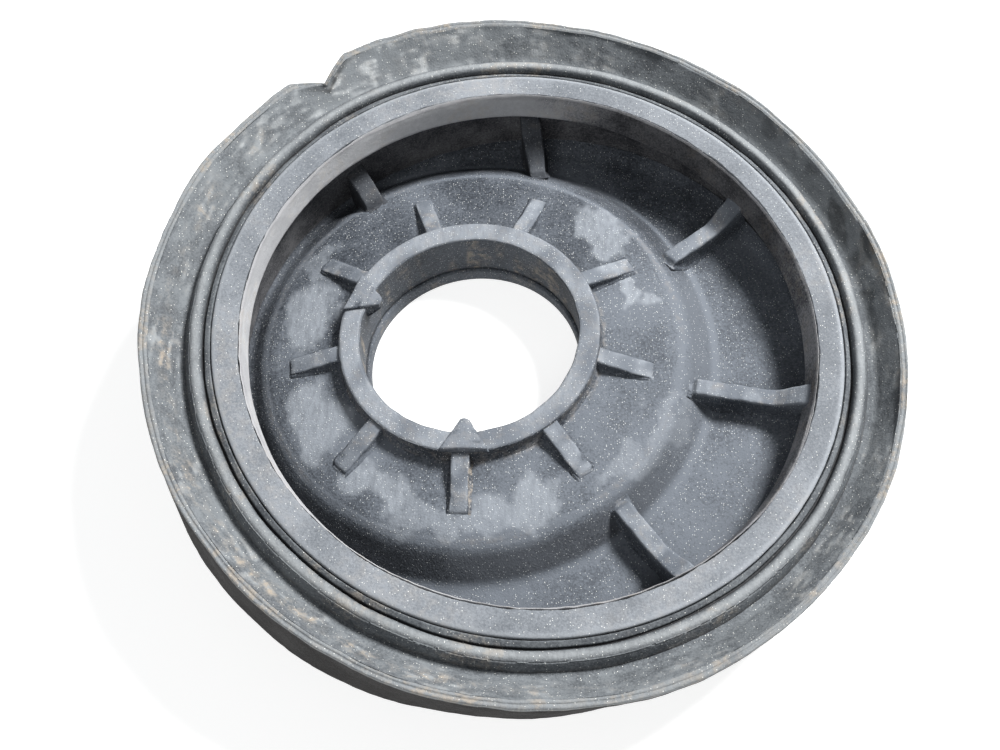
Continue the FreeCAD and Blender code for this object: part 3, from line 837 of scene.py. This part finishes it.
def rolledSteel(name):
    # Bare mill steel: a dull grey gleam, a little uneven from place to place.
    material = bpy.data.materials.new(name)
    material.use_nodes = True
    tree = material.node_tree
    tree.nodes.clear()
    place = addNode(tree, "ShaderNodeTexCoord")
    uneven = addNode(tree, "ShaderNodeTexNoise", {}, {
        "Vector": (place, "Object"), "Scale": 1 / (1.2 * mm), "Detail": 4.0})
    tint = addNode(tree, "ShaderNodeMix", {"data_type": "RGBA"}, {
        0: (uneven, "Fac"), 6: linear("#6f6f70"), 7: linear("#8d8c8a")})
    matt = addNode(tree, "ShaderNodeMapRange", {}, {"Value": (uneven, "Fac"), "To Min": 0.35, "To Max": 0.6})
    shader = addNode(tree, "ShaderNodeBsdfPrincipled", {}, {
        "Base Color": (tint, 2), "Roughness": (matt, 0), "Metallic": 1.0})
    addNode(tree, "ShaderNodeOutputMaterial", {}, {"Surface": (shader, 0)})
    return material


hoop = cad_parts["hoop_insert"]
hoop.data.materials.clear()
hoop.data.materials.append(rolledSteel("rolledSteelHoop"))
print("hoop given its steel")


# Floor, light and camera

studio = {
    "floor": 14.0, "floorColour": "#c4c4c2", "floorGlow": 0.75,
    "surround": "#eef2f7", "surroundStrength": 0.27, "aim": (0.012, -0.003, 0.012),
    "lights": {
        "keyLight": {"heading": 33.0, "height": 47.5, "distance": 1.1, "size": 0.3, "power": 30.0},
        "fillLight": {"heading": 250.0, "height": 50.0, "distance": 1.3, "size": 0.9, "power": 4.0},
    },
}


def buildFloor(s):
    half = s["floor"] / 2
    mesh = bpy.data.meshes.new("floor")
    corners = [(-half, -half, 0), (half, -half, 0), (half, half, 0), (-half, half, 0)]
    mesh.from_pydata(corners, [], [(0, 1, 2, 3)])
    material = bpy.data.materials.new("paintedFloor")
    material.use_nodes = True
    tree = material.node_tree
    tree.nodes.clear()
    shader = addNode(tree, "ShaderNodeBsdfPrincipled", {}, {
        "Base Color": linear(s["floorColour"]), "Roughness": 0.9, "Specular IOR Level": 0.1,
        "Emission Color": (1.0, 1.0, 1.0, 1.0), "Emission Strength": s["floorGlow"]})
    addNode(tree, "ShaderNodeOutputMaterial", {}, {"Surface": (shader, 0)})
    mesh.materials.append(material)
    floor = bpy.data.objects.new("floor", mesh)
    bpy.context.scene.collection.objects.link(floor)


def areaLight(name, s, aim):
    heading, height = math.radians(s["heading"]), math.radians(s["height"])
    level = math.cos(height)
    toward = Vector((math.cos(heading) * level, math.sin(heading) * level, math.sin(height)))
    data = bpy.data.lights.new(name, "AREA")
    data.shape = "DISK"
    data.size = s["size"]
    data.energy = s["power"]
    light = bpy.data.objects.new(name, data)
    light.location = Vector(aim) + toward * s["distance"]
    light.rotation_euler = toward.to_track_quat("Z", "Y").to_euler()
    bpy.context.scene.collection.objects.link(light)


def buildStudio(s):
    buildFloor(s)
    for name, settings in s["lights"].items():
        areaLight(name, settings, s["aim"])
    world = bpy.data.worlds.new("surround")
    bpy.context.scene.world = world
    world.use_nodes = True
    world.node_tree.nodes.clear()
    background = addNode(world.node_tree, "ShaderNodeBackground", {}, {
        "Color": linear(s["surround"]), "Strength": s["surroundStrength"]})
    addNode(world.node_tree, "ShaderNodeOutputWorld", {}, {"Surface": (background, 0)})
    bpy.context.scene.view_settings.view_transform = "Standard"


viewpoint = {
    "place": (26.15, -136.52, 252.10), "lens": 43.2, "right": (0.99677, 0.00047, -0.08035),
    "up": (0.03727, 0.88319, 0.46753), "ahead": (-0.07118, 0.46901, -0.88032),
}


def buildCamera(s):
    data = bpy.data.cameras.new("camera")
    data.sensor_width = 36.0
    data.lens = s["lens"]
    data.clip_start = 0.01
    camera = bpy.data.objects.new("camera", data)
    right, up, back = Vector(s["right"]), Vector(s["up"]), -Vector(s["ahead"])
    turn = Matrix((right, up, back)).transposed()
    camera.matrix_world = Matrix.Translation(Vector(s["place"]) * mm) @ turn.to_4x4()
    bpy.context.scene.collection.objects.link(camera)
    bpy.context.scene.camera = camera


buildStudio(studio)
buildCamera(viewpoint)
print("studio and camera set")
